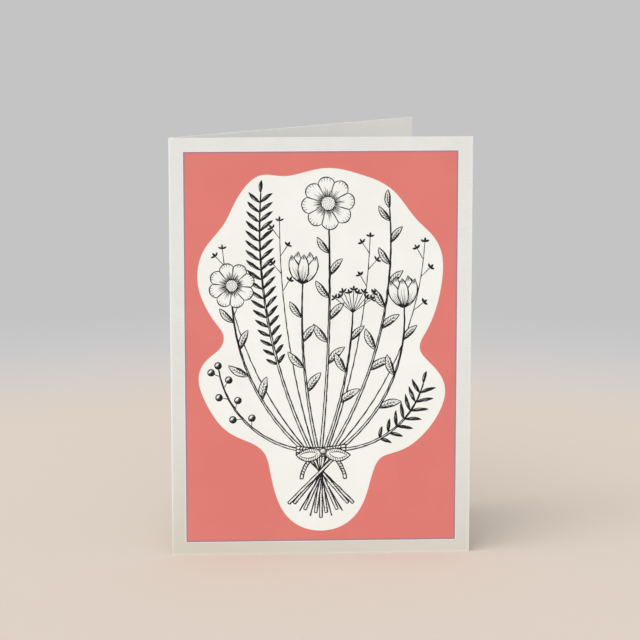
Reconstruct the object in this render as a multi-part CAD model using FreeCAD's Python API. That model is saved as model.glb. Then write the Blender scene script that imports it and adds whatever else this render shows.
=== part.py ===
import FreeCAD, Part
import math
import os

# A greeting card: one scored and folded sheet of board that stands slightly open on its
# long cut edges. On its front lie a pale ground, a coral field with a cut-out, and in the
# cut-out a black pen drawing of a tied bunch of flowers. Millimetres and degrees. The
# front faces -Y and the fold stands at -X.

# The folded sheet
card_width = 105.0
card_height = 148.0
board = 0.36
opening_angle = 32.6
spine_radius = 0.48
crease_reach = 1.0
crease_bulge = 0.14

# The print: flat films of ink on the front panel
side_margin = 5.0
top_margin = 4.8
foot_margin = 4.6
ground_lip = 0.2
ground_film = 0.02
ink_film = 0.02
pen = 0.34
hairline = 0.27
smoothness = 0.09

# The cut-out follows the drawing at a distance and leaves coral all round it
halo_width = 4.4
halo_least = 1.6
halo_gap = 2.6
halo_points = 60
halo_smoothing = 2

# The stems: where they are tied, how far apart, and where they end below
tie_height = 33.0
stem_spacing = 1.25
stem_width = 1.35
stem_tip = 0.5
stalk_width = 0.5
tail_end = 8.5
tail_rise = 5.2
tail_step = 1.6
tail_spread = 1.9

# Leaves, fronds and heads
leaf_length = 9.4
leaf_width = 3.3
leaf_pitch = 6.4
leaf_angle = 42.0
leaves_from = 0.35
leaves_to = 0.80
leaflet_length = 6.6
leaflet_width = 1.35
leaflet_pitch = 3.3
leaflet_angle = 50.0
cup_height = 11.5
cup_width = 8.6
umbel_radius = 8.0
umbel_rays = 9
umbel_spread = 104.0
branch_length = 4.4
branch_count = 4
branch_angle = 36.0
floret = 1.7
floret_fan = 63.0
berry_radius = 1.35
berry_stalk = 3.4
berry_count = 6
berry_angle = 52.0
petal_count = 8
large_daisy = 9.4
small_daisy = 8.2

# The twine and its bow
twine_width = 1.5
twine_turns = 3
twine_overhang = 1.2
loop_length = 9.6
loop_width = 5.0

# The stems from left to right: the kind of head, the place of the tip across and up the
# room that the field leaves for such a head, and how far the stem bows to its left
sprigs = [
    ("berries", -1.0, 0.31, 6.5),
    ("small daisy", -0.96, 0.65, 7.0),
    ("spray", -0.88, 0.74, 6.0),
    ("fern", -0.58, 0.97, 6.0),
    ("spray", -0.37, 0.84, 3.0),
    ("cup", -0.22, 0.68, 2.0),
    ("large daisy", 0.08, 0.98, -1.5),
    ("umbel", 0.36, 0.55, -2.0),
    ("spray", 0.44, 0.78, -3.0),
    ("leafy", 0.70, 0.93, -7.0),
    ("spray", 0.93, 0.76, -7.0),
    ("cup", 1.0, 0.58, -7.0),
    ("fern", 1.0, 0.25, -6.0),
]

field_width = card_width - 2 * side_margin
field_height = card_height - top_margin - foot_margin
middle_stem = (len(sprigs) - 1) / 2
speck = 0.02

# How far each kind of head reaches beyond the tip of its stem
head_reach = {
    "berries": berry_stalk + berry_radius,
    "small daisy": small_daisy,
    "large daisy": large_daisy,
    "cup": cup_height,
    "umbel": umbel_radius + floret,
    "fern": 0.7 * leaflet_length,
    "leafy": 0.7 * leaf_length,
    "spray": floret,
}


def spot(u, v):
    return FreeCAD.Vector(u, v, 0.0)


def along(start, angle, distance):
    return spot(start.x + distance * math.cos(angle), start.y + distance * math.sin(angle))


# A path is a circular arc given by its start, its end and how far it bows to the left
def path_at(path, share):
    start, end, bow = path
    chord = start.distanceToPoint(end)
    heading = math.atan2(end.y - start.y, end.x - start.x)
    sweep = 4 * math.atan(2 * bow / chord)
    if abs(sweep) < 1e-6:
        return along(start, heading, share * chord), heading
    radius = chord / (2 * math.sin(sweep / 2))
    turned = share * sweep
    place = along(start, heading + sweep / 2 - turned / 2, 2 * radius * math.sin(turned / 2))
    return place, heading + sweep / 2 - turned


def beside(path, share, offset):
    place, heading = path_at(path, share)
    return along(place, heading + math.pi / 2, offset)


def line(first, last):
    return Part.LineSegment(first, last).toShape()


def outline_of(points):
    return Part.makePolygon(points + points[:1])


def stencil(outline, holes):
    return Part.makeFace([outline] + holes, "Part::FaceMakerBullseye")


# A round stretch of ink is drawn with as many straight steps as keep it smooth
def steps_for(rise):
    return max(1, math.ceil(math.sqrt(abs(rise) / smoothness)))


# One side of a band, at an offset that changes evenly along the path
def side(path, share_a, share_b, offset_a, offset_b):
    steps = steps_for(path[2] * (share_b - share_a)**2)
    points = []
    for step in range(steps + 1):
        way = step / steps
        share = share_a + way * (share_b - share_a)
        points.append(beside(path, share, offset_a + way * (offset_b - offset_a)))
    return points


def band(path, share_a, share_b, wide_a, wide_b):
    left = side(path, share_a, share_b, wide_a / 2, wide_b / 2)
    right = side(path, share_a, share_b, -wide_a / 2, -wide_b / 2)
    return outline_of(left + right[::-1])


# A leaf shape along the path, pointed at both ends and widest at its middle
def lens(path, share_a, share_b, offset_left, offset_right):
    steps = steps_for(max(abs(offset_left), abs(offset_right)))
    left = []
    right = []
    for step in range(steps + 1):
        way = step / steps
        share = share_a + way * (share_b - share_a)
        left.append(beside(path, share, 4 * way * (1 - way) * offset_left))
        right.append(beside(path, share, 4 * way * (1 - way) * offset_right))
    return outline_of(left + right[-2:0:-1])


def circle(centre, radius):
    count = math.ceil(math.pi / math.acos(1 - smoothness / radius))
    return outline_of([along(centre, 2 * math.pi * turn / count, radius) for turn in range(count)])


# Shapes are laid from the back to the front, and each one hides what lies behind it
class Drawing:
    def __init__(self):
        self.layers = []
        self.kept_clear = []

    def lay(self, outline, holes):
        self.layers.append((Part.Face(outline), stencil(outline, holes)))

    def clear_round(self, centre, radius):
        self.kept_clear.append((centre, radius))

    def inked_faces(self):
        faces = []
        for number, (cover, inked) in enumerate(self.layers):
            later = [layer[0] for layer in self.layers[number + 1:]]
            covers = [shape for shape in later if shape.BoundBox.intersect(inked.BoundBox)]
            visible = inked.cut(covers) if covers else inked
            faces += [face for face in visible.Faces if face.Area > speck]
        return faces


def draw_leaf(drawing, base, angle, length, width):
    path = (base, along(base, angle, length), 0.06 * length)
    inset = 1.9 * pen / length
    rim = width / 2 - pen
    vein = 0.3 * pen
    holes = [lens(path, inset, 1 - inset, rim, vein), lens(path, inset, 1 - inset, -rim, -vein)]
    drawing.lay(lens(path, 0, 1, width / 2, -width / 2), holes)
    drawing.clear_round(path[1], 0)


# A small solid leaf with straight sides, widest a little below its middle
def draw_leaflet(drawing, base, angle, length, width):
    path = (base, along(base, angle, length), 0)
    left = beside(path, 0.45, width / 2)
    right = beside(path, 0.45, -width / 2)
    drawing.lay(outline_of([base, left, path[1], right]), [])
    drawing.clear_round(path[1], 0)


# Two outlines that run together where the stem grows thin
def draw_stem(drawing, path, wide_a, wide_b):
    inset = pen / path[0].distanceToPoint(path[1])
    hollow = wide_a - 2 * pen
    taper = wide_a - wide_b
    far = 1.0 if taper < pen else min(1.0, (hollow - 0.3 * pen) / taper)
    room = far - 2 * inset > 0 and hollow > 0.3 * pen
    holes = [band(path, inset, far - inset, hollow, hollow - far * taper)] if room else []
    drawing.lay(band(path, 0, 1, wide_a, wide_b), holes)


def draw_daisy(drawing, centre, radius, turn):
    half = math.pi / petal_count
    eye = 0.29 * radius
    valley = 0.80 * radius
    root = eye + 0.4 * pen
    shoulder = valley - 0.6 * pen
    rise = radius - valley * math.cos(half)
    rim = []
    holes = []
    for count in range(petal_count):
        aim = turn + 2 * half * count
        rim += side((along(centre, aim - half, valley), along(centre, aim + half, valley), -rise),
                    0, 1, 0, 0)[:-1]
        root_turn = half - 0.5 * pen / root
        turned = half - 0.6 * pen / shoulder
        end = (along(centre, aim - turned, shoulder), along(centre, aim + turned, shoulder),
               shoulder * math.cos(turned) + pen - radius)
        holes.append(outline_of([along(centre, aim + root_turn, root),
                                 along(centre, aim - root_turn, root)] + side(end, 0, 1, 0, 0)))
    drawing.lay(outline_of(rim), holes)
    drawing.lay(circle(centre, eye), [circle(centre, eye - pen)])
    for count in range(7):
        seed = centre if count == 0 else along(centre, count * math.pi / 3, 0.52 * eye)
        drawing.lay(diamond(seed, pen, pen, 0), [])
    drawing.clear_round(centre, radius)


def diamond(centre, length, width, angle):
    reaches = [length, width, length, width]
    return outline_of([along(centre, angle + quarter * math.pi / 2, reach)
                       for quarter, reach in enumerate(reaches)])


def draw_cup(drawing, base, angle):
    petals = [(-0.24, 0.98, 0.10), (0.24, 0.98, -0.10), (-0.50, 0.86, 0.08), (0.50, 0.86, -0.08),
              (0.0, 0.90, 0.0)]
    for across, height, lean in petals:
        tip = along(along(base, angle, height * cup_height), angle - math.pi / 2, across * cup_width)
        path = (base, tip, lean * cup_width)
        inset = 1.5 * pen / cup_height
        half = 0.24 * cup_width
        hole = lens(path, inset, 1 - inset, half - pen, pen - half)
        drawing.lay(lens(path, 0, 1, half, -half), [hole])
    drawing.clear_round(along(base, angle, 0.55 * cup_height), 0.5 * cup_height)


def draw_florets(drawing, end, aim):
    for petal in (-1, 0, 1):
        lean = aim + petal * math.radians(floret_fan)
        middle = along(end, lean, 0.5 * floret)
        drawing.lay(diamond(middle, 0.5 * floret, 0.24 * floret, lean), [])
    drawing.clear_round(end, floret)


def draw_umbel(drawing, base, angle):
    ends = []
    for count in range(umbel_rays):
        turn = math.radians(umbel_spread) * (count / (umbel_rays - 1) - 0.5)
        reach = umbel_radius * (1.0 - 0.13 * (count % 2))
        end = along(base, angle + turn, reach)
        drawing.lay(band((base, end, 0), 0, 1, hairline, hairline), [])
        ends.append((end, angle + turn))
    for end, aim in ends:
        draw_florets(drawing, end, aim)


def draw_spray(drawing, path):
    for count in range(branch_count):
        hand = 1 if count % 2 else -1
        place, heading = path_at(path, 0.7 + 0.3 * count / branch_count)
        aim = heading + hand * math.radians(branch_angle)
        end = along(place, aim, branch_length)
        drawing.lay(band((place, end, 0), 0, 1, hairline, hairline), [])
        draw_florets(drawing, end, aim)
    draw_florets(drawing, path[1], path_at(path, 1.0)[1])


def draw_berry(drawing, centre):
    drawing.lay(circle(centre, berry_radius), [])
    drawing.clear_round(centre, berry_radius)


def draw_berries(drawing, path):
    for count in range(berry_count):
        hand = 1 if count % 2 else -1
        place, heading = path_at(path, 0.44 + 0.6 * count / berry_count)
        centre = along(place, heading + hand * math.radians(berry_angle), berry_stalk)
        drawing.lay(band((place, centre, 0), 0, 1, hairline, hairline), [])
        draw_berry(drawing, centre)
    draw_berry(drawing, along(path[1], path_at(path, 1.0)[1], berry_radius))


def draw_leaves(drawing, path, share_a, share_b):
    count = int((share_b - share_a) * path[0].distanceToPoint(path[1]) / leaf_pitch)
    for number in range(count):
        share = share_a + (share_b - share_a) * number / max(1, count - 1)
        hand = 1 if number % 2 else -1
        place, heading = path_at(path, share)
        size = 1.05 - 0.36 * share
        lean = hand * math.radians(leaf_angle) * (1.1 - 0.3 * share)
        draw_leaf(drawing, place, heading + lean, leaf_length * size, leaf_width * size)


def draw_frond(drawing, path, share_a):
    count = int((1 - share_a) * path[0].distanceToPoint(path[1]) / leaflet_pitch)
    for number in range(count):
        share = share_a + (1 - share_a) * number / count
        place, heading = path_at(path, share)
        size = 0.42 + 0.58 * math.sin(math.pi * min(1.0, 1.15 - share) ** 0.8)
        for hand in (1, -1):
            lean = hand * math.radians(leaflet_angle)
            draw_leaflet(drawing, place, heading + lean, leaflet_length * size, leaflet_width)
    place, heading = path_at(path, 1.0)
    draw_leaflet(drawing, place, heading, 0.7 * leaflet_length, leaflet_width)


def stem_foot(number):
    return spot((number - middle_stem) * stem_spacing, tie_height)


# The tip lies inside the room that is left when the head, the halo and the gap are taken off
def stem_path(number):
    kind, across, height, bow = sprigs[number]
    edge = halo_gap + halo_width + head_reach[kind]
    room_u = field_width / 2 - edge
    room_v = field_height - edge - tie_height
    return stem_foot(number), spot(across * room_u, tie_height + height * room_v), bow


def draw_sprig(drawing, number):
    kind = sprigs[number][0]
    path = stem_path(number)
    place, heading = path_at(path, 1.0)
    if kind == "spray":
        drawing.lay(band(path, 0, 1, stalk_width, hairline), [])
        draw_spray(drawing, path)
        return
    if kind == "fern":
        draw_frond(drawing, path, leaves_from)
    elif kind == "leafy":
        draw_leaves(drawing, path, leaves_from, 0.95)
        draw_leaf(drawing, place, heading, 0.7 * leaf_length, 0.7 * leaf_width)
    elif kind != "berries":
        draw_leaves(drawing, path, leaves_from, leaves_to)
    draw_stem(drawing, path, stem_width, stem_tip)
    if kind == "small daisy":
        draw_daisy(drawing, place, small_daisy, 0.3)
    elif kind == "large daisy":
        draw_daisy(drawing, place, large_daisy, 0.1)
    elif kind == "cup":
        draw_cup(drawing, place, heading)
    elif kind == "umbel":
        draw_umbel(drawing, place, heading)
    elif kind == "berries":
        draw_berries(drawing, path)
    for share in (0.15, 0.3, 0.45, 0.6, 0.75):
        drawing.clear_round(path_at(path, share)[0], 0)


# Below the twine each stem goes on to the other side of the bunch
def draw_tails(drawing):
    for number, sprig in enumerate(sprigs):
        off_middle = number - middle_stem
        rise = tail_rise * (off_middle / middle_stem)**2 + tail_step * (number % 2)
        end = spot(-tail_spread * off_middle, tail_end + rise)
        path = (stem_foot(number), end, 0)
        if sprig[0] == "spray":
            drawing.lay(band(path, 0, 1, stalk_width, stalk_width), [])
        else:
            draw_stem(drawing, path, stem_width, stem_width)
        drawing.clear_round(end, stem_width)


def draw_twine(drawing):
    half = middle_stem * stem_spacing + twine_overhang
    for turn in range(twine_turns):
        rise = (turn - (twine_turns - 1) / 2) * (twine_width - pen)
        left = spot(-half, tie_height + rise - 0.3)
        right = spot(half, tie_height + rise + 0.3)
        draw_stem(drawing, (left, right, -0.8), twine_width, twine_width)
        drawing.clear_round(left, 0)
        drawing.clear_round(right, 0)


def draw_bow(drawing):
    knot = spot(0.8, tie_height - 0.6)
    for hand in (1, -1):
        aim = math.radians(-90 - hand * 38)
        tail = along(knot, aim, 1.3 * loop_length)
        draw_stem(drawing, (knot, tail, -hand * 1.8), twine_width, twine_width)
        drawing.clear_round(tail, 0)
    for hand in (1, -1):
        aim = math.radians(90 + hand * 98)
        path = (knot, along(knot, aim, loop_length), hand * 0.6)
        half = loop_width / 2
        inset = 2.2 * pen / loop_length
        outer = lens(path, 0, 1, half, -half)
        drawing.lay(outer, [lens(path, inset, 1 - inset, half - pen, pen - half)])
        drawing.clear_round(path[1], 0)
    drawing.lay(circle(knot, berry_radius), [circle(knot, berry_radius - pen)])


def draw_bunch():
    drawing = Drawing()
    draw_tails(drawing)
    for number in sorted(range(len(sprigs)), key=lambda number: -sprigs[number][2]):
        draw_sprig(drawing, number)
    draw_twine(drawing)
    draw_bow(drawing)
    return drawing


# How far a ray from the middle goes before it leaves the last circle round the drawing
def ray_reach(kept_clear, middle, angle, width):
    reach = width
    for centre, radius in kept_clear:
        away = centre - middle
        turn = math.atan2(away.y, away.x) - angle
        miss = away.Length * math.sin(turn)
        if abs(miss) < radius + width:
            exit_at = away.Length * math.cos(turn) + math.sqrt((radius + width)**2 - miss**2)
            reach = max(reach, exit_at)
    return reach


def ray_room(middle, angle):
    height = field_height - middle.y if math.sin(angle) > 0 else middle.y
    room_u = (field_width / 2 - halo_gap) / max(1e-6, abs(math.cos(angle)))
    room_v = (height - halo_gap) / max(1e-6, abs(math.sin(angle)))
    return min(room_u, room_v)


# The edge of the cut-out, a smooth closed curve round the bunch
def halo_edge(kept_clear):
    middle = spot(0.0, 0.48 * field_height)
    angles = [2 * math.pi * count / halo_points for count in range(halo_points)]
    reaches = [ray_reach(kept_clear, middle, angle, halo_width) for angle in angles]
    for _ in range(halo_smoothing):
        after = reaches[1:] + reaches[:1]
        reaches = [(reaches[k - 1] + 2 * reaches[k] + after[k]) / 4 for k in range(halo_points)]
    least = [ray_reach(kept_clear, middle, angle, halo_least) for angle in angles]
    room = [ray_room(middle, angle) for angle in angles]
    reaches = [min(max(pair), limit) for *pair, limit in zip(reaches, least, room)]
    spline = Part.BSplineCurve()
    points = [along(middle, angle, reach) for angle, reach in zip(angles, reaches)]
    spline.interpolate(Points=points, PeriodicFlag=True)
    return Part.Wire(spline.toShape())


def rectangle(width, height):
    corners = [(-1, -1), (1, -1), (1, 1), (-1, 1)]
    return outline_of([spot(u * width / 2, (field_height + v * height) / 2) for u, v in corners])


# Gives flat faces the thickness of a film and lays them on the front panel's outer face,
# their backs at the given distance from the board
def on_front(faces, film, distance):
    shape = Part.makeCompound([face.extrude(FreeCAD.Vector(0, 0, film)) for face in faces])
    shape.rotate(FreeCAD.Vector(0, 0, 0), FreeCAD.Vector(1, 0, 0), 90)
    shape.translate(FreeCAD.Vector(card_width / 2, -distance, foot_margin))
    return shape


def make_print():
    drawing = draw_bunch()
    edge = halo_edge(drawing.kept_clear)
    ground = rectangle(field_width + 2 * ground_lip, field_height + 2 * ground_lip)
    field = rectangle(field_width, field_height)
    return {
        "pale_ground": on_front([Part.Face(ground)], ground_film, 0),
        "coral_field": on_front([stencil(field, [edge])], ink_film, ground_film),
        "black_drawing": on_front(drawing.inked_faces(), ink_film, ground_film),
    }


# The sheet in plan: the front panel along +X, a rounded spine, and the back panel turned
# from it by the opening angle, with the bulge that scoring leaves inside the fold
def make_folded_card():
    theta = math.radians(opening_angle)
    centre = FreeCAD.Vector(spine_radius, spine_radius, 0)
    panel = card_width - spine_radius
    forward = FreeCAD.Vector(math.cos(theta), math.sin(theta), 0)
    outward = FreeCAD.Vector(-math.sin(theta), math.cos(theta), 0)
    halfway = FreeCAD.Vector(math.cos(theta / 2), math.sin(theta / 2), 0)
    front_outer = FreeCAD.Vector(spine_radius, 0, 0)
    front_end = FreeCAD.Vector(card_width, 0, 0)
    front_end_inner = FreeCAD.Vector(card_width, board, 0)
    back_outer = centre + outward * spine_radius
    back_inner = centre + outward * (spine_radius - board)
    back_end = back_outer + forward * panel
    back_end_inner = back_inner + forward * panel
    crease_front = FreeCAD.Vector(spine_radius + crease_reach, board, 0)
    crease_back = back_inner + forward * crease_reach
    crease_middle = (crease_front + crease_back) * 0.5 + halfway * crease_bulge
    section = Part.Wire([
        line(front_outer, front_end),
        line(front_end, front_end_inner),
        line(front_end_inner, crease_front),
        Part.Arc(crease_front, crease_middle, crease_back).toShape(),
        line(crease_back, back_end_inner),
        line(back_end_inner, back_end),
        line(back_end, back_outer),
        Part.Arc(back_outer, centre - halfway * spine_radius, front_outer).toShape(),
    ])
    return Part.Face(section).extrude(FreeCAD.Vector(0, 0, card_height))


def main():
    os.makedirs("parts", exist_ok=True)
    pieces = {"folded_card": make_folded_card()}
    pieces.update(make_print())
    box = FreeCAD.BoundBox()
    for shape in pieces.values():
        box.add(shape.BoundBox)
    # The origin is the middle of the footprint, on the surface that the card stands on
    for name, shape in pieces.items():
        shape.translate(FreeCAD.Vector(-box.Center.x, -box.Center.y, -box.ZMin))
        shape.exportStep("parts/" + name + ".step")
        print(name, len(shape.Solids), "solids", round(shape.Volume, 3), "mm3", shape.isValid())
    print("box", round(box.XLength, 3), round(box.YLength, 3), round(box.ZLength, 3))


main()
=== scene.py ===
import bpy
import math
import random
from cmath import phase, rect

import numpy as np
from mathutils import Matrix, Vector


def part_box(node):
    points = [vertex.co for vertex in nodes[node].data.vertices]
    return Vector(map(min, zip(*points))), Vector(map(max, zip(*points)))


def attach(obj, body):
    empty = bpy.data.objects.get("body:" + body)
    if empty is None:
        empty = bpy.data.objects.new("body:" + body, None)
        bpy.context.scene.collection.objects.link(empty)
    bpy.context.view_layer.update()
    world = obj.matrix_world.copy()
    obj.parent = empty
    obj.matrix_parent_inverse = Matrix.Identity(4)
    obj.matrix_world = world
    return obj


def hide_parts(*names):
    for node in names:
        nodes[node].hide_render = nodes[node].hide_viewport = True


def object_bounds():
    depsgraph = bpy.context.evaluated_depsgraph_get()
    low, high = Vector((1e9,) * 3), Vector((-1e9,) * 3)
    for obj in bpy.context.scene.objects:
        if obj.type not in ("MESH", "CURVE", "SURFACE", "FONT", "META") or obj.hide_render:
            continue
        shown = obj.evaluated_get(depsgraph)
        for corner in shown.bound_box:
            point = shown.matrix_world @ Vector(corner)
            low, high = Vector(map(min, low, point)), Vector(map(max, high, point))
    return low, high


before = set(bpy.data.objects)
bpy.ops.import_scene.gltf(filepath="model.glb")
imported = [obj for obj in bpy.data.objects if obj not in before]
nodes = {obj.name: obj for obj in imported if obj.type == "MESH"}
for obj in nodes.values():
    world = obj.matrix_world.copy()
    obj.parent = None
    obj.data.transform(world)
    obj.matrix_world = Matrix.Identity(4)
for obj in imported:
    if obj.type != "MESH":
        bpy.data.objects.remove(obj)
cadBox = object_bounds()
mm = 0.001
dice = random.Random(11)
bpy.ops.object.select_all(action="DESELECT")


# Shader maths: a Signal is a socket that can be added and multiplied in plain expressions

class Signal:
    def __init__(self, sheet, socket):
        self.sheet = sheet
        self.socket = socket

    def maths(self, operation, first, second=0.0):
        values = {0: first, 1: second}
        return self.sheet.add("ShaderNodeMath", {"operation": operation}, values)["Value"]

    def __add__(self, other):
        return self.maths("ADD", self, other)

    def __sub__(self, other):
        return self.maths("SUBTRACT", self, other)

    def __rsub__(self, other):
        return self.maths("SUBTRACT", other, self)

    def __mul__(self, other):
        return self.maths("MULTIPLY", self, other)

    def __abs__(self):
        return self.maths("ABSOLUTE", self)

    __radd__ = __add__
    __rmul__ = __mul__

    def over(self, other):        # the larger of the two
        return self.maths("MAXIMUM", self, other)

    def between(self, low, high):        # 0 below low, 1 above high, and smooth on the way
        settings = {"interpolation_type": "SMOOTHSTEP"}
        values = {"Value": self, "From Min": low, "From Max": high}
        return self.sheet.add("ShaderNodeMapRange", settings, values)["Result"]


class Sheet:
    def __init__(self, tree):
        self.tree = tree
        tree.nodes.clear()

    def add(self, kind, settings, values):
        node = self.tree.nodes.new(kind)
        for name, value in settings.items():
            setattr(node, name, value)
        for name, value in values.items():
            if isinstance(value, Signal):
                self.tree.links.new(value.socket, node.inputs[name])
            else:
                node.inputs[name].default_value = value
        return {socket.name: Signal(self, socket) for socket in node.outputs if socket.enabled}

    def mix(self, share, first, second):        # share of the second colour over the first
        values = {0: share, 6: first, 7: second}
        return self.add("ShaderNodeMix", {"data_type": "RGBA"}, values)["Result"]

    def noise(self, where, scale, detail):
        values = {"Vector": where, "Scale": scale, "Detail": detail}
        return self.add("ShaderNodeTexNoise", {}, values)["Fac"]

    def stretched(self, where, scale):
        return self.add("ShaderNodeMapping", {}, {"Vector": where, "Scale": scale})["Vector"]

    def split(self, vector):
        return self.add("ShaderNodeSeparateXYZ", {}, {"Vector": vector})

    def bump(self, height, strength, depth):
        values = {"Strength": strength, "Distance": depth, "Height": height}
        return self.add("ShaderNodeBump", {}, values)["Normal"]


def linear(colour):        # from a screen's 0 to 255 to the linear colour that a shader takes
    shades = []
    for part in colour:
        shade = part / 255
        shades.append(shade / 12.92 if shade <= 0.04045 else ((shade + 0.055) / 1.055) ** 2.4)
    return (*shades, 1.0)


def newMaterial(name):
    material = bpy.data.materials.new(name)
    material.use_nodes = True
    return material, Sheet(material.node_tree)


def finishMaterial(sheet, values):
    shader = sheet.add("ShaderNodeBsdfPrincipled", {}, values)["BSDF"]
    sheet.add("ShaderNodeOutputMaterial", {}, {"Surface": shader})


def dress(piece, material):
    piece.data.materials.clear()
    piece.data.materials.append(material)


# Camera, lamps, floor and world

view = {
    "lens": 161.66,                         # mm
    "sensor": 36,                           # mm
    "place": (-45.92, -1010.32, 272.5),     # mm from the middle of the footprint
    "pitch": 10.858,                        # degrees below the horizon
    "turn": 2.658,                          # degrees towards +X
}

lamps = {                                   # degrees; the azimuth runs from the front towards +X
    "keyLamp": {
        "azimuth": -43,
        "height": 56,
        "strength": 1.8,
        "spread": 60,
        "colour": (0.99, 1.0, 1.01),
    },
    "frontLamp": {
        "azimuth": 0,
        "height": 14,
        "strength": 0.4,
        "spread": 50,
        "colour": (0.98, 1.0, 1.03),
    },
}

room = {
    "ambient": 0.70,                        # strength of the light from all round
    "ambientColour": (0.985, 1.0, 1.045, 1.0),
    "floorColour": (206, 193, 180),
    "bounceColour": (190, 182, 172),        # what the floor sends back to the card
    "farColour": (196, 196, 197),
    "nearRadius": 0.20,                     # m, where the floor begins to turn grey
    "farRadius": 0.46,                      # m, where it is all grey
    "floorSide": 24.0,                      # m
}


def makeCamera():
    camera = bpy.data.cameras.new("camera")
    camera.lens = view["lens"]
    camera.sensor_width = view["sensor"]
    holder = bpy.data.objects.new("camera", camera)
    holder.location = Vector(view["place"]) * mm
    holder.rotation_euler = (math.radians(90 - view["pitch"]), 0, -math.radians(view["turn"]))
    bpy.context.collection.objects.link(holder)
    bpy.context.scene.camera = holder


def makeLamps():
    for name, lamp in lamps.items():
        light = bpy.data.lights.new(name, "SUN")
        light.energy = lamp["strength"]
        light.angle = math.radians(lamp["spread"])
        light.color = lamp["colour"]
        holder = bpy.data.objects.new(name, light)
        azimuth, height = math.radians(lamp["azimuth"]), math.radians(lamp["height"])
        aim = Vector((math.sin(azimuth), -math.cos(azimuth), 0)) * math.cos(height)
        aim.z = math.sin(height)
        holder.rotation_euler = aim.to_track_quat("Z", "Y").to_euler()
        bpy.context.collection.objects.link(holder)


def makeFloor():
    bpy.ops.mesh.primitive_plane_add(size=room["floorSide"], location=(0, 0, 0))
    floor = bpy.context.active_object
    floor.name = "floor"
    material, sheet = newMaterial("paleFloor")
    where = sheet.add("ShaderNodeTexCoord", {}, {})["Object"]
    away = sheet.add("ShaderNodeVectorMath", {"operation": "LENGTH"}, {0: where})["Value"]
    far = away.between(room["nearRadius"], room["farRadius"])
    seen = sheet.add("ShaderNodeLightPath", {}, {})["Is Camera Ray"]
    colour = sheet.mix(far, linear(room["floorColour"]), linear(room["farColour"]))
    colour = sheet.mix(seen, linear(room["bounceColour"]), colour)
    lit = sheet.add("ShaderNodeBsdfDiffuse", {}, {"Color": colour})["BSDF"]
    plain = sheet.add("ShaderNodeEmission", {}, {"Color": linear(room["farColour"])})["Emission"]
    surface = sheet.add("ShaderNodeMixShader", {}, {0: far * seen, 1: lit, 2: plain})["Shader"]
    sheet.add("ShaderNodeOutputMaterial", {}, {"Surface": surface})
    dress(floor, material)


def makeWorld():
    world = bpy.data.worlds.new("world")
    bpy.context.scene.world = world
    world.use_nodes = True
    sheet = Sheet(world.node_tree)
    glow = {"Color": room["ambientColour"], "Strength": room["ambient"]}
    soft = sheet.add("ShaderNodeBackground", {}, glow)["Background"]
    plain = sheet.add("ShaderNodeBackground", {}, {"Color": linear(room["farColour"])})["Background"]
    seen = sheet.add("ShaderNodeLightPath", {}, {})["Is Camera Ray"]
    surface = sheet.add("ShaderNodeMixShader", {}, {0: seen, 1: soft, 2: plain})["Shader"]
    sheet.add("ShaderNodeOutputWorld", {}, {"Surface": surface})


# The folded sheet of board

board = {
    "face": (233, 233, 228),
    "faceDeep": (230, 229, 223),            # in the faint clouds
    "paintedFootShade": (214, 208, 193),                # painted shade: the lower end of the panels darker and warmer, standing in for warm light bounced from below
    "footShadeHeight": 112,                      # mm over which the painted shade fades out
    "footShadeShare": 0.93,                      # its strength at the foot, in the middle of the card
    "footShadeLean": 2.6,                        # how much of it is lost per metre away from the fold
    "footShadeHaste": 1.2,                       # and how much sooner it fades out there
    "cutEdge": (246, 245, 241),
    "cutUpward": (0.6, 0.8),                # from how much of its normal a face is a cut edge
    "cutSideways": (0.7, 0.8),
    "cutRoughness": 0.08,                   # more than on the face
    "fibre": (214, 212, 203),
    "fibreShare": 0.25,
    "fibreNoise": (2100, 1.0),              # of each noise, its scale per metre and its detail
    "fibreLimits": (0.62, 0.74),            # and the values between which it shows
    "fibreThinness": 0.16,                  # thickness to length
    "fibreRise": 0.5,                       # height to that of the tooth
    "cloudNoise": (55, 4.0),
    "cloudLimits": (0.3, 0.7),
    "toothNoise": (2600, 3.0),
    "toothDepth": 0.03,                     # mm
    "toothStrength": 0.4,
    # bluish white along the fold: a painted cool highlight where the rounded fold catches the light
    "creaseAndHighlight": (232, 233, 238),
    "creaseAndHighlightWidth": 1.3,                     # mm beside the fold where bending raised the fibres and where a cool highlight is painted
    "edgeHighlightWidth": 1.0,                       # mm along the fold, the side and the foot, a little brighter: a painted highlight
    "edgeHighlightShare": 0.25,                      # brighter from handling
    "roughness": 0.86,
    "specular": 0.3,
}


def paperGrain(sheet, where):
    tooth = sheet.noise(where, *board["toothNoise"])
    clouds = sheet.noise(where, *board["cloudNoise"]).between(*board["cloudLimits"])
    thin = board["fibreThinness"]
    upright = sheet.noise(sheet.stretched(where, (1.0, 1.0, thin)), *board["fibreNoise"])
    level = sheet.noise(sheet.stretched(where, (thin, thin, 1.0)), *board["fibreNoise"])
    fibres = upright.over(level).between(*board["fibreLimits"])
    return tooth, clouds, fibres


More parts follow.
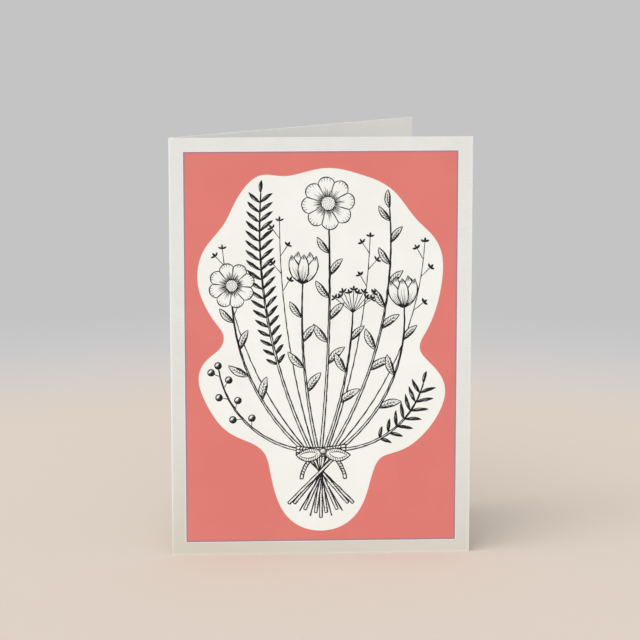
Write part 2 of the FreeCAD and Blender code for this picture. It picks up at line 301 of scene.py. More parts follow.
def boardMaterial():
    material, sheet = newMaterial("foldedBoard")
    coordinates = sheet.add("ShaderNodeTexCoord", {}, {})
    tooth, clouds, fibres = paperGrain(sheet, coordinates["Object"])
    facing, place = sheet.split(coordinates["Normal"]), sheet.split(coordinates["Object"])
    freeSide = facing["X"].between(*board["cutSideways"]) * place["X"].between(0, mm)
    cut = abs(facing["Z"]).between(*board["cutUpward"]).over(freeSide)
    # band along the fold: raised fibres in the bump, and a painted cool highlight in the colour
    creaseAndHighlight = 1 - place["X"].between(cadBox[0].x, cadBox[0].x + board["creaseAndHighlightWidth"] * mm)
    # painted shade: the board darker and warmer towards its foot, less so away from the fold
    rise = (1 - place["Z"] * (1 / (board["footShadeHeight"] * mm))).over(0)
    across = place["X"].between(cadBox[0].x, cadBox[1].x)
    paintedFootShade = rise * rise * (board["footShadeShare"] - place["X"] * board["footShadeLean"])
    paintedFootShade = paintedFootShade * (1 - across * (1 - rise) * board["footShadeHaste"])
    face = sheet.mix(clouds, linear(board["face"]), linear(board["faceDeep"]))
    face = sheet.mix(paintedFootShade, face, linear(board["paintedFootShade"]))
    face = sheet.mix(fibres * board["fibreShare"], face, linear(board["fibre"]))
    edge = board["edgeHighlightWidth"] * mm
    # painted highlight: a little brighter along the fold, the free side and the foot
    rim = abs(place["X"]).between(cadBox[1].x - edge, cadBox[1].x)
    rim = rim.over(1 - place["Z"].between(0, edge))
    # painted cool highlight along the fold
    face = sheet.mix(creaseAndHighlight * (1 - paintedFootShade), face, linear(board["creaseAndHighlight"]))
    # the cut edges' own paler colour, and the painted highlight along the edges
    pale = cut.over(rim * board["edgeHighlightShare"])
    height = tooth + fibres * board["fibreRise"] + creaseAndHighlight * fibres
    finishMaterial(sheet, {
        "Base Color": sheet.mix(pale, face, linear(board["cutEdge"])),
        "Roughness": board["roughness"] + pale * board["cutRoughness"],
        "Specular IOR Level": board["specular"],
        "Normal": sheet.bump(height, board["toothStrength"], board["toothDepth"] * mm),
    })
    return material


# The inks: the board's tooth shows through all three

ink = {
    "toothStrength": 0.25,
    "roughness": 0.72,
    "speckNoise": (3400, 2.0),
}

paleInk = {
    "colour": (248, 248, 241),
    "deep": (244, 244, 236),                # in the clouds and the fibres
    "fibreShare": 0.8,
    "toothRoughness": 0.1,
    "specular": 0.35,
}

coralInk = {
    "colour": (227, 126, 116),
    "deep": (222, 119, 110),                # in the clouds and the specks
    "cloudNoise": (55, 3.0),
    "cloudLimits": (0.3, 0.7),
    "cloudShare": 0.6,
    "cloudGloss": 0.06,                     # what the clouds take from the roughness
    "speckLimits": (0.5, 0.75),
    "speckShare": 0.4,
    "rim": (168, 129, 144),                 # the fine violet line that ends the field
    "rimWidth": 0.85,                       # mm
    "rimSolid": 0.33,                       # share of that width at full strength
    "specular": 0.4,
}

blackInk = {
    "colour": (25, 24, 26),
    "worn": (52, 50, 52),                   # in the specks where it is thin
    "wornLimits": (0.55, 0.8),
    "wornRoughness": 0.15,
    "specular": 0.3,
}


def inkTooth(sheet, where):
    tooth = sheet.noise(where, *board["toothNoise"])
    return sheet.bump(tooth, ink["toothStrength"], board["toothDepth"] * mm)


def paleInkMaterial():
    material, sheet = newMaterial("paleInk")
    where = sheet.add("ShaderNodeTexCoord", {}, {})["Object"]
    tooth, clouds, fibres = paperGrain(sheet, where)
    deep = clouds.over(fibres * paleInk["fibreShare"])
    finishMaterial(sheet, {
        "Base Color": sheet.mix(deep, linear(paleInk["colour"]), linear(paleInk["deep"])),
        "Roughness": ink["roughness"] + tooth * paleInk["toothRoughness"],
        "Specular IOR Level": paleInk["specular"],
        "Normal": inkTooth(sheet, where),
    })
    return material


def coralInkMaterial():
    material, sheet = newMaterial("coralInk")
    where = sheet.add("ShaderNodeTexCoord", {}, {})["Object"]
    low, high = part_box("coral_field")
    middle, reach = (low + high) / 2, (high - low) / 2
    place = sheet.split(where)
    rim = coralInk["rimWidth"] * mm
    solid = rim * coralInk["rimSolid"]
    sideways = abs(place["X"] - middle.x).between(reach.x - rim, reach.x - solid)
    upright = abs(place["Z"] - middle.z).between(reach.z - rim, reach.z - solid)
    clouds = sheet.noise(where, *coralInk["cloudNoise"]).between(*coralInk["cloudLimits"])
    specks = sheet.noise(where, *ink["speckNoise"]).between(*coralInk["speckLimits"])
    deep = clouds * coralInk["cloudShare"] + specks * coralInk["speckShare"]
    coral = sheet.mix(deep, linear(coralInk["colour"]), linear(coralInk["deep"]))
    finishMaterial(sheet, {
        "Base Color": sheet.mix(sideways.over(upright), coral, linear(coralInk["rim"])),
        "Roughness": ink["roughness"] - clouds * coralInk["cloudGloss"],
        "Specular IOR Level": coralInk["specular"],
        "Normal": inkTooth(sheet, where),
    })
    return material


def blackInkMaterial():
    material, sheet = newMaterial("blackInk")
    where = sheet.add("ShaderNodeTexCoord", {}, {})["Object"]
    worn = sheet.noise(where, *ink["speckNoise"]).between(*blackInk["wornLimits"])
    finishMaterial(sheet, {
        "Base Color": sheet.mix(worn, linear(blackInk["colour"]), linear(blackInk["worn"])),
        "Roughness": ink["roughness"] + worn * blackInk["wornRoughness"],
        "Specular IOR Level": blackInk["specular"],
        "Normal": inkTooth(sheet, where),
    })
    return material


# The pen drawing is laid out like the solids, in mm: across the field from its middle, up from its foot

coralLow, coralHigh = (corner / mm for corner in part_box("coral_field"))

bunch = {
    "pen": 0.40,                            # widths of the pen's lines
    "fine": 0.26,
    "hair": 0.19,
    "tieHeight": 33.0,
    "stemSpacing": 1.25,
    "stemWidth": 1.35,
    "stemTip": 0.5,
    "stalkWidth": 0.5,
    "hairline": 0.27,                       # width of the thinnest stalks
    "haloWidth": 4.4,                       # pale ground left round the drawing
    "haloGap": 2.6,                         # coral left round that
    "fieldWidth": coralHigh.x - coralLow.x,
    "fieldHeight": coralHigh.z - coralLow.z,
}

penTouch = {
    "step": 0.12,                           # mm between the places where a line may be hidden
    "keep": 4,                              # every so many of them becomes a point of the line
    "sway": 0.045,                          # mm that a line strays
    "swayWave": 0.9,                        # mm, and so are the other two waves
    "quiver": 0.5,                          # a finer stray on it, as a share of it
    "quiverWave": 0.37,
    "swell": 0.14,                          # share by which its width varies
    "swellWave": 0.7,
    "light": 0.9,                           # weight of a shape's left side
    "heavy": 1.1,                           # and of its right side
    "weld": 0.0001,                         # mm within which the ends of a line are closed
    "middle": 0.005,                        # mm within which a point stays midway in the film
}


def hump(way):        # 0 at both ends and 1 in the middle
    return 4 * way * (1 - way)


def falling(values, way):        # from its first value down by its second
    return values[0] - values[1] * way


# How a line's width runs from its start to its end
def even(way):
    return np.ones_like(way)


def fading(way, loss=0.65):
    return 1 - loss * way ** 2


def pointed(way, least=0.5):
    return least + (1 - least) * np.sqrt(np.clip(hump(way), 0, 1))


def dropped(way, least=0.08):
    return np.clip(hump(way), least, 1)


# Shapes are laid from the back to the front, and a cover hides the lines that lie behind it
class Drawing:
    def __init__(self):
        self.lines = []
        self.covers = []

    def cover(self, outline):
        self.covers.append(np.array(outline))

    def line(self, points, wide, shape=even, sway=1.0):
        points = np.array(points)
        far = np.concatenate(([0.0], np.cumsum(np.abs(np.diff(points)))))
        count = max(3, math.ceil(far[-1] / penTouch["step"]) + 1)
        place = np.linspace(0, far[-1], count)
        way = place / far[-1]
        route = np.interp(place, far, points)
        slope = np.gradient(route)
        turns = [dice.uniform(0, 2 * math.pi) for _ in range(3)]
        quiver = penTouch["quiver"] * np.sin(place / penTouch["quiverWave"] + turns[1])
        stray = np.sin(place / penTouch["swayWave"] + turns[0]) + quiver
        stray *= penTouch["sway"] * sway * np.sin(math.pi * way)
        route = route + 1j * slope / np.abs(slope) * stray
        swell = 1 + penTouch["swell"] * np.sin(place / penTouch["swellWave"] + turns[2])
        self.lines.append((len(self.covers), route, wide * swell * shape(way)))

    def body(self, left, right, light=1.0, heavy=1.0, shape=even):
        self.cover(left + right[::-1])
        self.line(left, bunch["pen"] * light, shape)
        self.line(right, bunch["pen"] * heavy, shape)

    def dot(self, place, wide):
        self.line([place - wide / 3, place + wide / 3], wide, sway=0)

    def visibleLines(self):
        visible = []
        boxes = [flatBox(outline) for outline in self.covers]
        for layer, route, wide in self.lines:
            left, right, low, high = flatBox(route)
            seen = np.ones(len(route), bool)
            for outline, box in zip(self.covers[layer:], boxes[layer:]):
                if box[0] < right and box[1] > left and box[2] < high and box[3] > low:
                    seen &= ~insideOutline(route, outline)
            edges = np.flatnonzero(np.diff(np.concatenate(([False], seen, [False])).astype(int)))
            for start, stop in zip(edges[::2], edges[1::2]):
                if stop - start > 1:
                    kept = sorted({*range(start, stop, penTouch["keep"]), stop - 1})
                    visible.append((route[kept], wide[kept]))
        return visible


def flatBox(places):
    return places.real.min(), places.real.max(), places.imag.min(), places.imag.max()


def insideOutline(places, outline):
    after = np.roll(outline, -1)
    height = places.imag[:, None]
    straddles = (outline.imag > height) != (after.imag > height)
    rise = np.where(after.imag == outline.imag, 1.0, after.imag - outline.imag)
    crossing = outline.real + (height - outline.imag) * (after.real - outline.real) / rise
    return (straddles & (places.real[:, None] < crossing)).sum(axis=1) % 2 == 1


# A path is a circular arc given by its start, its end and how far it bows to the left
def pathAt(path, share):
    start, end, bow = path
    chord = end - start
    sweep = 4 * math.atan(2 * bow / abs(chord))
    if abs(sweep) < 1e-6:
        return start + share * chord, phase(chord)
    radius = abs(chord) / (2 * math.sin(sweep / 2))
    turned = share * sweep
    place = start + rect(2 * radius * math.sin(turned / 2), phase(chord) + sweep / 2 - turned / 2)
    return place, phase(chord) + sweep / 2 - turned


# Points beside a path, at an offset that changes evenly and may swell at its middle
def trace(path, shareA, shareB, offsetA=0.0, offsetB=0.0, swell=0.0, steps=14):
    points = []
    for step in range(steps + 1):
        way = step / steps
        place, heading = pathAt(path, shareA + way * (shareB - shareA))
        offset = offsetA + way * (offsetB - offsetA) + hump(way) * swell
        points.append(place + rect(offset, heading + math.pi / 2))
    return points


def bulging(path, half):        # the two sides of a leaf, a petal or a loop
    return trace(path, 0, 1, swell=half), trace(path, 0, 1, swell=-half)


def ring(centre, radius, first=0.0, last=2 * math.pi, steps=24):
    turns = [first + (last - first) * step / steps for step in range(steps + 1)]
    return [centre + rect(radius, turn) for turn in turns]


# Stems and stalks

stemHatch = {
    "first": 0.4,                           # mm from the foot of the stem
    "last": 0.8,                            # mm from its tip
    "gap": (0.55, 1.25),                    # mm from one to the next
    "slant": 0.45,                          # mm that each runs along the stem
    "reach": (0.32, 1.44),                  # half widths that each runs across it
    "least": 0.2,                           # mm, half the width below which there is none
}


def drawStem(drawing, path, wideA, wideB):
    halfA, halfB = (wideA - bunch["pen"]) / 2, max(0.0, (wideB - bunch["pen"]) / 2)
    left, right = trace(path, 0, 1, halfA, halfB), trace(path, 0, 1, -halfA, -halfB)
    drawing.body(left, right, penTouch["light"], penTouch["heavy"])
    drawing.line([left[0], right[0]], bunch["pen"], sway=0)
    length = abs(path[1] - path[0])
    place = stemHatch["first"]
    while place < length - stemHatch["last"]:
        share = place / length
        half = halfA + share * (halfB - halfA)
        if half > stemHatch["least"]:
            across = half * dice.uniform(*stemHatch["reach"])
            end = share + stemHatch["slant"] / length
            hatch = trace(path, share, end, -half, across - half, steps=3)
            drawing.line(hatch, bunch["hair"], fading, sway=0)
        place += dice.uniform(*stemHatch["gap"])


def drawStalk(drawing, path, wideA, wideB):
    drawing.line(trace(path, 0, 1), wideA, lambda way: 1 + (wideB / wideA - 1) * way)


tails = {
    "end": 8.5,                             # mm above the field's foot, in the middle
    "rise": 5.2,                            # mm higher on the outside
    "step": 1.6,                            # mm higher for every second stem
    "spread": 1.9,                          # mm from one end to the next
}


def drawTails(drawing):
    middle = (len(sprigs) - 1) / 2
    for number, sprig in enumerate(sprigs):
        off = number - middle
        rise = tails["rise"] * (off / middle) ** 2 + tails["step"] * (number % 2)
        end = complex(-tails["spread"] * off, tails["end"] + rise)
        if sprig[0] == "spray":
            drawStalk(drawing, (stemFoot(number), end, 0), bunch["stalkWidth"], bunch["stalkWidth"])
        else:
            drawStem(drawing, (end, stemFoot(number), 0), bunch["stemWidth"], bunch["stemWidth"])


# Leaves and fronds

leaf = {
    "length": 9.4,
    "width": 3.3,
    "bow": 0.06,                            # share of its length
    "pitch": 6.4,
    "angle": 42.0,
    "first": 0.35,                          # where the leaves begin and end on a stem
    "last": 0.80,
    "leafyLast": 0.95,
    "size": (1.05, 0.36),                   # at the stem's foot, and what is lost up to its tip
    "lean": (1.1, 0.3),
    "topSize": 0.7,                         # of the one on the tip
    "rib": 0.9,                             # length of its middle line
}

leafVein = {
    "count": 5,                             # pairs
    "first": 0.14,
    "span": 0.62,
    "run": 0.15,                            # share of the leaf that each runs along it
    "reach": 0.86,                          # share of the way out to the edge
    "droop": 0.08,                          # mm
}

leafHatch = {
    "count": 12,
    "first": 0.07,
    "span": 0.55,
    "run": 0.11,
    "inner": 0.15,                          # share of the way out where the first begins
    "outer": 0.5,                           # and how much further out the last does
}

leaflet = {
    "length": 6.6,
    "width": 1.35,
    "bow": 0.04,
    "pitch": 3.3,
    "angle": 50.0,
    "topSize": 0.7,
    "strokes": (-0.74, -0.32, 0.16, 0.74),  # shares of its half width
    "strokeLength": 0.97,
    "weight": 1.25,                         # of the fine pen
}

frond = {"least": 0.42, "full": 1.15, "rounding": 0.8}        # how the leaflets' size runs up the stem


def drawLeaf(drawing, base, angle, length, width):
    path = (base, base + rect(length, angle), leaf["bow"] * length)
    half = (width - bunch["pen"]) / 2
    drawing.body(*bulging(path, half), penTouch["light"], penTouch["heavy"], pointed)
    drawing.line(trace(path, 0, leaf["rib"]), bunch["fine"], fading)
    for number in range(leafVein["count"]):
        share = leafVein["first"] + leafVein["span"] * number / leafVein["count"]
        end = share + leafVein["run"]
        reach = leafVein["reach"] * hump(end) * half
        for hand in (1, -1):
            vein = trace(path, share, end, 0, hand * reach, -hand * leafVein["droop"], 4)
            drawing.line(vein, bunch["hair"], fading)
    for number in range(leafHatch["count"]):
        share = leafHatch["first"] + leafHatch["span"] * number / leafHatch["count"]
        end = share + leafHatch["run"]
        reach = hump(end) * half
        start = reach * (leafHatch["inner"] + leafHatch["outer"] * number / leafHatch["count"])
        drawing.line(trace(path, share, end, -start, -reach, steps=3), bunch["hair"], sway=0)


def drawLeaflet(drawing, base, angle, length, width):
    path = (base, base + rect(length, angle), leaflet["bow"] * length)
    for offset in leaflet["strokes"]:
        stroke = trace(path, 0, leaflet["strokeLength"], swell=offset * width / 2, steps=8)
        drawing.line(stroke, bunch["fine"] * leaflet["weight"], pointed)


def drawLeaves(drawing, path, shareA, shareB):
    count = int((shareB - shareA) * abs(path[1] - path[0]) / leaf["pitch"])
    for number in range(count):
        share = shareA + (shareB - shareA) * number / max(1, count - 1)
        hand = 1 if number % 2 else -1
        place, heading = pathAt(path, share)
        size = falling(leaf["size"], share)
        lean = hand * math.radians(leaf["angle"]) * falling(leaf["lean"], share)
        drawLeaf(drawing, place, heading + lean, leaf["length"] * size, leaf["width"] * size)


def drawFrond(drawing, path):
    count = int((1 - leaf["first"]) * abs(path[1] - path[0]) / leaflet["pitch"])
    for number in range(count):
        share = leaf["first"] + (1 - leaf["first"]) * number / count
        place, heading = pathAt(path, share)
        ahead = min(1.0, frond["full"] - share) ** frond["rounding"]
        size = frond["least"] + (1 - frond["least"]) * math.sin(math.pi * ahead)
        for hand in (1, -1):
            lean = hand * math.radians(leaflet["angle"])
            drawLeaflet(drawing, place, heading + lean, leaflet["length"] * size, leaflet["width"])
    place, heading = pathAt(path, 1.0)
    drawLeaflet(drawing, place, heading, leaflet["topSize"] * leaflet["length"], leaflet["width"])


# Heads

daisy = {
    "petals": 8,
    "large": 9.4,                           # radius
    "largeTurn": 0.1,                       # radians
    "small": 8.2,
    "smallTurn": 0.3,
    "eye": 0.29,                            # share of the radius
    "valley": 0.80,                         # share of it at which two petals meet
    "splitBow": 0.12,                       # mm, to either side
    "seeds": 44,
    "seedTurn": 2.4,                        # radians from one to the next
    "seedWidth": (0.24, 0.12),              # in the middle, and how much wider at the rim
}

petalStreak = {
    "count": 9,
    "spread": 0.78,                         # shares of half a petal
    "stray": 0.06,
    "reach": (0.3, 0.75),                   # shares of the way out to where the petals meet
    "loss": 0.35,                           # how much shorter the outer ones are
}

petalTip = {
    "count": 4,
    "spread": 0.45,
    "outer": (0.97, 0.14),                  # share of the radius, and what the outer ones lose
    "inner": 0.88,                          # share of the way out at which a stroke ends
}

cup = {
    "height": 11.5,
    "width": 8.6,
    "halfPetal": 0.24,
    "petals": [                             # across, height, lean
        (-0.24, 0.98, 0.10),
        (0.24, 0.98, -0.10),
        (-0.50, 0.86, 0.08),
        (0.50, 0.86, -0.08),
        (0.0, 0.90, 0.0),
    ],
    "streaks": (-0.72, -0.45, -0.2, 0.08, 0.33, 0.6, 0.78),
    "streakFoot": 0.04,
    "streakReach": (0.4, 0.72),
    "streakLoss": 0.2,
    "streakSwell": 0.35,
    "tipStroke": (0.95, 0.82),              # shares of the petal between which it runs
    "tipSpread": 0.5,
    "sepalAngle": 0.9,                      # radians
    "sepalLength": 0.22,                    # of the cup's height
    "sepalWidth": 0.9,
}

umbel = {"radius": 8.0, "rays": 9, "spread": 104.0, "step": 0.13}
spray = {"branchLength": 4.4, "branches": 4, "angle": 36.0, "first": 0.7}
floret = {"length": 1.7, "fan": 63.0, "wide": 0.8}

berry = {
    "radius": 1.35,
    "stalk": 3.4,
    "count": 6,
    "angle": 52.0,
    "first": 0.44,                          # place on the stem
    "span": 0.6,
    "arcs": (0.78, 0.56, 0.34, 0.12),       # shares of the radius
    "arcEnds": (-195, 100),                 # degrees; the light falls in the gap
    "arcLoss": 40,                          # degrees that each end loses
    "arcWeight": 1.2,                       # of the fine pen
}


def drawDaisy(drawing, centre, radius, turn):
    half = math.pi / daisy["petals"]
    eye, valley = daisy["eye"] * radius, daisy["valley"] * radius
    rise = radius - bunch["pen"] / 2 - valley * math.cos(half)
    aims = [turn + 2 * half * count for count in range(daisy["petals"])]
    rims = []
    for aim in aims:
        ends = [centre + rect(valley, aim + hand * half) for hand in (-1, 1)]
        rims.append(trace((*ends, -rise), 0, 1))
    drawing.cover([point for rim in rims for point in rim])
    for aim, rim in zip(aims, rims):
        drawing.line(rim, bunch["pen"], pointed)
        bend = dice.uniform(-daisy["splitBow"], daisy["splitBow"])
        split = (centre + rect(valley, aim + half), centre + rect(eye, aim + half), bend)
        drawing.line(trace(split, 0, 1), bunch["pen"], fading)
        drawPetal(drawing, centre, radius, aim)
    drawing.cover(ring(centre, eye))
    drawing.line(ring(centre, eye - bunch["pen"] / 2), bunch["pen"])
    for number in range(daisy["seeds"]):
        out = (eye - bunch["pen"]) * math.sqrt((number + 0.5) / daisy["seeds"])
        wide = daisy["seedWidth"][0] + daisy["seedWidth"][1] * out / eye
        drawing.dot(centre + rect(out, daisy["seedTurn"] * number), wide)


def fanned(count):        # evenly from -1 to 1
    return [2 * number / (count - 1) - 1 for number in range(count)]


def drawPetal(drawing, centre, radius, aim):
    half = math.pi / daisy["petals"]
    eye, valley = daisy["eye"] * radius, daisy["valley"] * radius
    for across in fanned(petalStreak["count"]):
        stray = dice.uniform(-petalStreak["stray"], petalStreak["stray"])
        lean = aim + half * (petalStreak["spread"] * across + stray)
        share = dice.uniform(*petalStreak["reach"]) * (1 - petalStreak["loss"] * abs(across))
        reach = eye + (valley - eye) * share
        drawing.line([centre + rect(eye, lean), centre + rect(reach, lean)], bunch["hair"], fading)
    for across in fanned(petalTip["count"]):
        across *= petalTip["spread"]
        lean = aim + half * across
        outer = radius * falling(petalTip["outer"], abs(across))
        inner = outer * petalTip["inner"]
        drawing.line([centre + rect(outer, lean), centre + rect(inner, lean)], bunch["hair"], fading)


def drawCup(drawing, base, angle):
    half = cup["halfPetal"] * cup["width"] - bunch["pen"] / 2
    for across, height, lean in cup["petals"]:
        tip = base + rect(height * cup["height"], angle) + rect(across * cup["width"], angle - math.pi / 2)
        path = (base, tip, lean * cup["width"])
        drawing.body(*bulging(path, half), heavy=penTouch["heavy"], shape=pointed)
        for streak in cup["streaks"]:
            reach = dice.uniform(*cup["streakReach"]) - cup["streakLoss"] * abs(streak)
            bulge = hump(reach) * half * streak
            swell = bulge * cup["streakSwell"]
            line = trace(path, cup["streakFoot"], reach, 0, bulge, swell, 8)
            drawing.line(line, bunch["hair"], fading)
        for streak in cup["streaks"][1::2]:
            line = trace(path, *cup["tipStroke"], 0, cup["tipSpread"] * half * streak, 0, 4)
            drawing.line(line, bunch["hair"], fading)
    for hand in (1, -1):
        aim = angle + hand * cup["sepalAngle"]
        drawLeaflet(drawing, base, aim, cup["sepalLength"] * cup["height"], cup["sepalWidth"])


def drawFlorets(drawing, end, aim):
    for petal in (-1, 0, 1):
        tip = end + rect(floret["length"], aim + petal * math.radians(floret["fan"]))
        drawing.line([end, tip], floret["wide"], dropped)


def drawUmbel(drawing, base, angle):
    ends = []
    for count in range(umbel["rays"]):
        turn = angle + math.radians(umbel["spread"]) * (count / (umbel["rays"] - 1) - 0.5)
        end = base + rect(umbel["radius"] * (1 - umbel["step"] * (count % 2)), turn)
        drawStalk(drawing, (base, end, 0), bunch["hairline"], bunch["hairline"])
        ends.append((end, turn))
    for end, aim in ends:
        drawFlorets(drawing, end, aim)


def drawSpray(drawing, path):
    drawStalk(drawing, path, bunch["stalkWidth"], bunch["hairline"])
    for count in range(spray["branches"]):
        hand = 1 if count % 2 else -1
        share = spray["first"] + (1 - spray["first"]) * count / spray["branches"]
        place, heading = pathAt(path, share)
        aim = heading + hand * math.radians(spray["angle"])
        end = place + rect(spray["branchLength"], aim)
        drawStalk(drawing, (place, end, 0), bunch["hairline"], bunch["hairline"])
        drawFlorets(drawing, end, aim)
    drawFlorets(drawing, path[1], pathAt(path, 1.0)[1])


def drawBerry(drawing, centre):
    edge = berry["radius"] - bunch["pen"] / 2
    drawing.cover(ring(centre, edge))
    drawing.line(ring(centre, edge), bunch["pen"])
    for share in berry["arcs"]:
        loss = berry["arcLoss"] * share
        first, last = math.radians(berry["arcEnds"][0] + loss), math.radians(berry["arcEnds"][1] - loss)
        arc = ring(centre, edge * share, first, last)
        drawing.line(arc, bunch["fine"] * berry["arcWeight"], pointed, sway=0.4)


def drawBerries(drawing, path):
    for count in range(berry["count"]):
        hand = 1 if count % 2 else -1
        place, heading = pathAt(path, berry["first"] + berry["span"] * count / berry["count"])
        centre = place + rect(berry["stalk"], heading + hand * math.radians(berry["angle"]))
        drawStalk(drawing, (place, centre, 0), bunch["hairline"], bunch["hairline"])
        drawBerry(drawing, centre)
    drawBerry(drawing, path[1] + rect(berry["radius"], pathAt(path, 1.0)[1]))


# The stems from left to right: the kind of head, the place of the tip across and up the room
# that the field leaves for such a head, and how far the stem bows to its left
sprigs = [
    ("berries", -1.0, 0.31, 6.5),
    ("small daisy", -0.96, 0.65, 7.0),
    ("spray", -0.88, 0.74, 6.0),
    ("fern", -0.58, 0.97, 6.0),
    ("spray", -0.37, 0.84, 3.0),
    ("cup", -0.22, 0.68, 2.0),
    ("large daisy", 0.08, 0.98, -1.5),
    ("umbel", 0.36, 0.55, -2.0),
    ("spray", 0.44, 0.78, -3.0),
    ("leafy", 0.70, 0.93, -7.0),
    ("spray", 0.93, 0.76, -7.0),
    ("cup", 1.0, 0.58, -7.0),
    ("fern", 1.0, 0.25, -6.0),
]

headReach = {
    "berries": berry["stalk"] + berry["radius"],
    "small daisy": daisy["small"],
    "large daisy": daisy["large"],
    "cup": cup["height"],
    "umbel": umbel["radius"] + floret["length"],
    "fern": leaflet["topSize"] * leaflet["length"],
    "leafy": leaf["topSize"] * leaf["length"],
    "spray": floret["length"],
}


def stemFoot(number):
    return complex((number - (len(sprigs) - 1) / 2) * bunch["stemSpacing"], bunch["tieHeight"])


def stemPath(number):
    kind, across, height, bow = sprigs[number]
    edge = bunch["haloGap"] + bunch["haloWidth"] + headReach[kind]
    roomU = bunch["fieldWidth"] / 2 - edge
    roomV = bunch["fieldHeight"] - edge - bunch["tieHeight"]
    return stemFoot(number), complex(across * roomU, bunch["tieHeight"] + height * roomV), bow


def drawSprig(drawing, number):
    kind = sprigs[number][0]
    path = stemPath(number)
    tip, heading = pathAt(path, 1.0)
    if kind == "spray":
        drawSpray(drawing, path)
        return
    if kind == "fern":
        drawFrond(drawing, path)
    elif kind == "leafy":
        size = leaf["topSize"]
        drawLeaves(drawing, path, leaf["first"], leaf["leafyLast"])
        drawLeaf(drawing, tip, heading, size * leaf["length"], size * leaf["width"])
    elif kind != "berries":
        drawLeaves(drawing, path, leaf["first"], leaf["last"])
    drawStem(drawing, path, bunch["stemWidth"], bunch["stemTip"])
    if kind == "small daisy":
        drawDaisy(drawing, tip, daisy["small"], daisy["smallTurn"])
    elif kind == "large daisy":
        drawDaisy(drawing, tip, daisy["large"], daisy["largeTurn"])
    elif kind == "cup":
        drawCup(drawing, tip, heading)
    elif kind == "umbel":
        drawUmbel(drawing, tip, heading)
    elif kind == "berries":
        drawBerries(drawing, path)


# The twine and its bow

twine = {
    "width": 1.5,
    "turns": 3,
    "overhang": 1.2,
    "slant": 0.3,                           # mm that each turn leans, at either end
    "sag": 0.8,                             # mm
    "twist": 0.95,                          # mm from one strand mark to the next
    "markRun": 0.8,                         # share of that which a mark runs along
    "hairShift": 0.3,                       # mm from a mark to the hair beside it
    "hairReach": 0.9,
}

tiedBow = {
    "knot": (0.8, -0.6),                    # mm across from the middle and up from the tie
    "loopLength": 9.6,
    "loopWidth": 5.0,
    "loopAngle": 98,                        # degrees from upright
    "loopBend": 0.6,                        # mm
    "band": 0.8,                            # width of the loop's band, of the twine's
    "hole": (0.22, 0.88),                   # where the loop's hole begins and ends
    "marks": 10,
    "markFirst": 0.14,
    "markSpan": 0.72,
    "markRun": 0.05,
    "markInner": 0.8,                       # of the hole's half width
    "tailLength": 1.3,                      # of a loop's
    "tailAngle": 38,                        # degrees from straight down
    "tailBend": 1.8,                        # mm
    "knotArcs": (0.65, 0.3),                # shares of the knot's radius
    "knotEnds": (-160, 60),                 # degrees
}


def drawRope(drawing, path):
    half = (twine["width"] - bunch["pen"]) / 2
    left, right = trace(path, 0, 1, half, half), trace(path, 0, 1, -half, -half)
    drawing.body(left, right)
    for end in (0, -1):
        drawing.line([left[end], right[end]], bunch["pen"], sway=0)
    length = abs(path[1] - path[0])
    for number in range(1, int(length / twine["twist"]) - 1):
        share = number * twine["twist"] / length
        end = share + twine["markRun"] * twine["twist"] / length
        drawing.line(trace(path, share, end, -half, half, 0, 4), bunch["fine"], sway=0.5)
        start = share + twine["hairShift"] / length
        hair = trace(path, start, end, -twine["hairReach"] * half, 0, 0, 3)
        drawing.line(hair, bunch["hair"], fading, sway=0)


def drawTwine(drawing):
    half = (len(sprigs) - 1) / 2 * bunch["stemSpacing"] + twine["overhang"]
    for turn in range(twine["turns"]):
        rise = (turn - (twine["turns"] - 1) / 2) * (twine["width"] - bunch["pen"])
        height = bunch["tieHeight"] + rise
        left, right = complex(-half, height - twine["slant"]), complex(half, height + twine["slant"])
        drawRope(drawing, (left, right, -twine["sag"]))


def drawBow(drawing):
    knot = complex(tiedBow["knot"][0], bunch["tieHeight"] + tiedBow["knot"][1])
    for hand in (1, -1):
        aim = math.radians(-90 - hand * tiedBow["tailAngle"])
        tail = knot + rect(tiedBow["tailLength"] * tiedBow["loopLength"], aim)
        drawRope(drawing, (knot, tail, -hand * tiedBow["tailBend"]))
    for hand in (1, -1):
        aim = math.radians(90 + hand * tiedBow["loopAngle"])
        tip = knot + rect(tiedBow["loopLength"], aim)
        drawLoop(drawing, (knot, tip, hand * tiedBow["loopBend"]))
    radius = berry["radius"] - bunch["pen"] / 2
    first, last = (math.radians(end) for end in tiedBow["knotEnds"])
    drawing.cover(ring(knot, radius))
    drawing.line(ring(knot, radius), bunch["pen"])
    for share in tiedBow["knotArcs"]:
        drawing.line(ring(knot, radius * share, first, last), bunch["fine"], pointed)


def drawLoop(drawing, path):
    half = (tiedBow["loopWidth"] - bunch["pen"]) / 2
    drawing.body(*bulging(path, half))
    inner = half - tiedBow["band"] * twine["width"]
    for side in (1, -1):
        drawing.line(trace(path, *tiedBow["hole"], swell=side * inner), bunch["fine"], pointed)
    for number in range(tiedBow["marks"]):
        share = tiedBow["markFirst"] + tiedBow["markSpan"] * number / (tiedBow["marks"] - 1)
        edge, hole = hump(share) * half, tiedBow["markInner"] * hump(share) * inner
        for side in (1, -1):
            end = share + tiedBow["markRun"]
            mark = trace(path, share, end, side * hole, side * edge, 0, 3)
            drawing.line(mark, bunch["hair"], sway=0)


def drawBunch():
    drawing = Drawing()
    drawTails(drawing)
    for number in sorted(range(len(sprigs)), key=lambda number: -sprigs[number][2]):
        drawSprig(drawing, number)
    drawTwine(drawing)
    drawBow(drawing)
    return drawing.visibleLines()


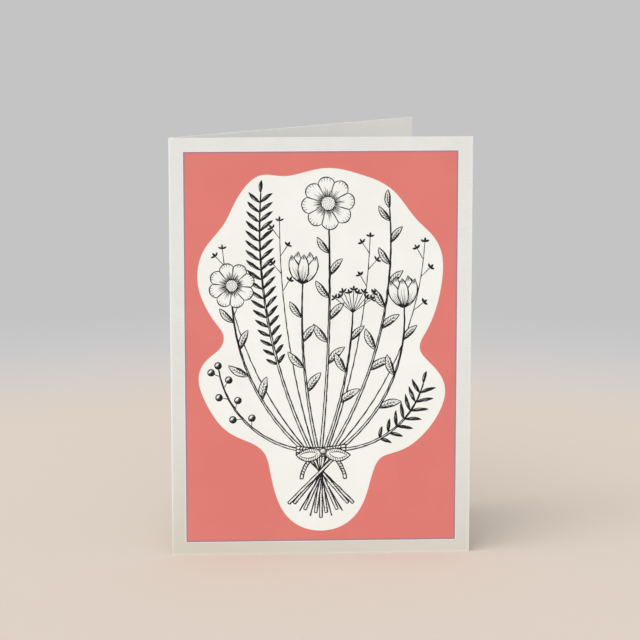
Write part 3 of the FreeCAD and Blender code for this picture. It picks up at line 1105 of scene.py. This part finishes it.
# Each visible line becomes a ribbon of ink as thick as the black film, on the pale ground
def makePenDrawing():
    lines = drawBunch()
    curve = bpy.data.curves.new("pen_drawing", "CURVE")
    curve.dimensions = "2D"
    curve.bevel_depth = 1.0
    curve.bevel_resolution = 0
    curve.use_fill_caps = True
    for route, wide in lines:
        spline = curve.splines.new("POLY")
        spline.points.add(len(route) - 1)
        places = np.zeros((len(route), 4))
        places[:, 0] = route.real * mm
        places[:, 1] = (route.imag + coralLow.z) * mm
        spline.points.foreach_set("co", places.ravel())
        spline.points.foreach_set("radius", wide / 2 * mm)
    piece = bpy.data.objects.new("pen_drawing", curve)
    bpy.context.collection.objects.link(piece)
    bpy.context.view_layer.objects.active = piece
    piece.select_set(True)
    bpy.ops.object.convert(target="MESH")
    bpy.ops.object.mode_set(mode="EDIT")
    bpy.ops.mesh.select_all(action="SELECT")
    bpy.ops.mesh.remove_doubles(threshold=penTouch["weld"] * mm)
    bpy.ops.object.mode_set(mode="OBJECT")
    piece.data.transform(Matrix.Rotation(math.radians(90), 4, "X"))
    layFilm(piece.data)
    piece.select_set(False)
    dress(piece, blackInkMaterial())
    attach(piece, "root")
    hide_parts("black_drawing")
    piece.data.calc_loop_triangles()
    print("pen drawing:", len(lines), "lines,", len(piece.data.loop_triangles), "triangles")


def layFilm(mesh):        # the upper points go to the film's one face and the lower to the other
    low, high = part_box("black_drawing")
    places = np.zeros(len(mesh.vertices) * 3)
    mesh.vertices.foreach_get("co", places)
    depth = places[1::3]
    side = np.where(np.abs(depth) < penTouch["middle"] * mm, 0, np.sign(depth))
    places[1::3] = (low.y + high.y) / 2 + side * (high.y - low.y) / 2
    mesh.vertices.foreach_set("co", places)
    mesh.update()


makeCamera()
makeLamps()
makeFloor()
makeWorld()
print("camera, lamps, floor and world are in place")

dress(nodes["folded_card"], boardMaterial())
dress(nodes["pale_ground"], paleInkMaterial())
dress(nodes["coral_field"], coralInkMaterial())
print("board and inks are dressed")

makePenDrawing()

bpy.context.scene.view_settings.view_transform = "Standard"
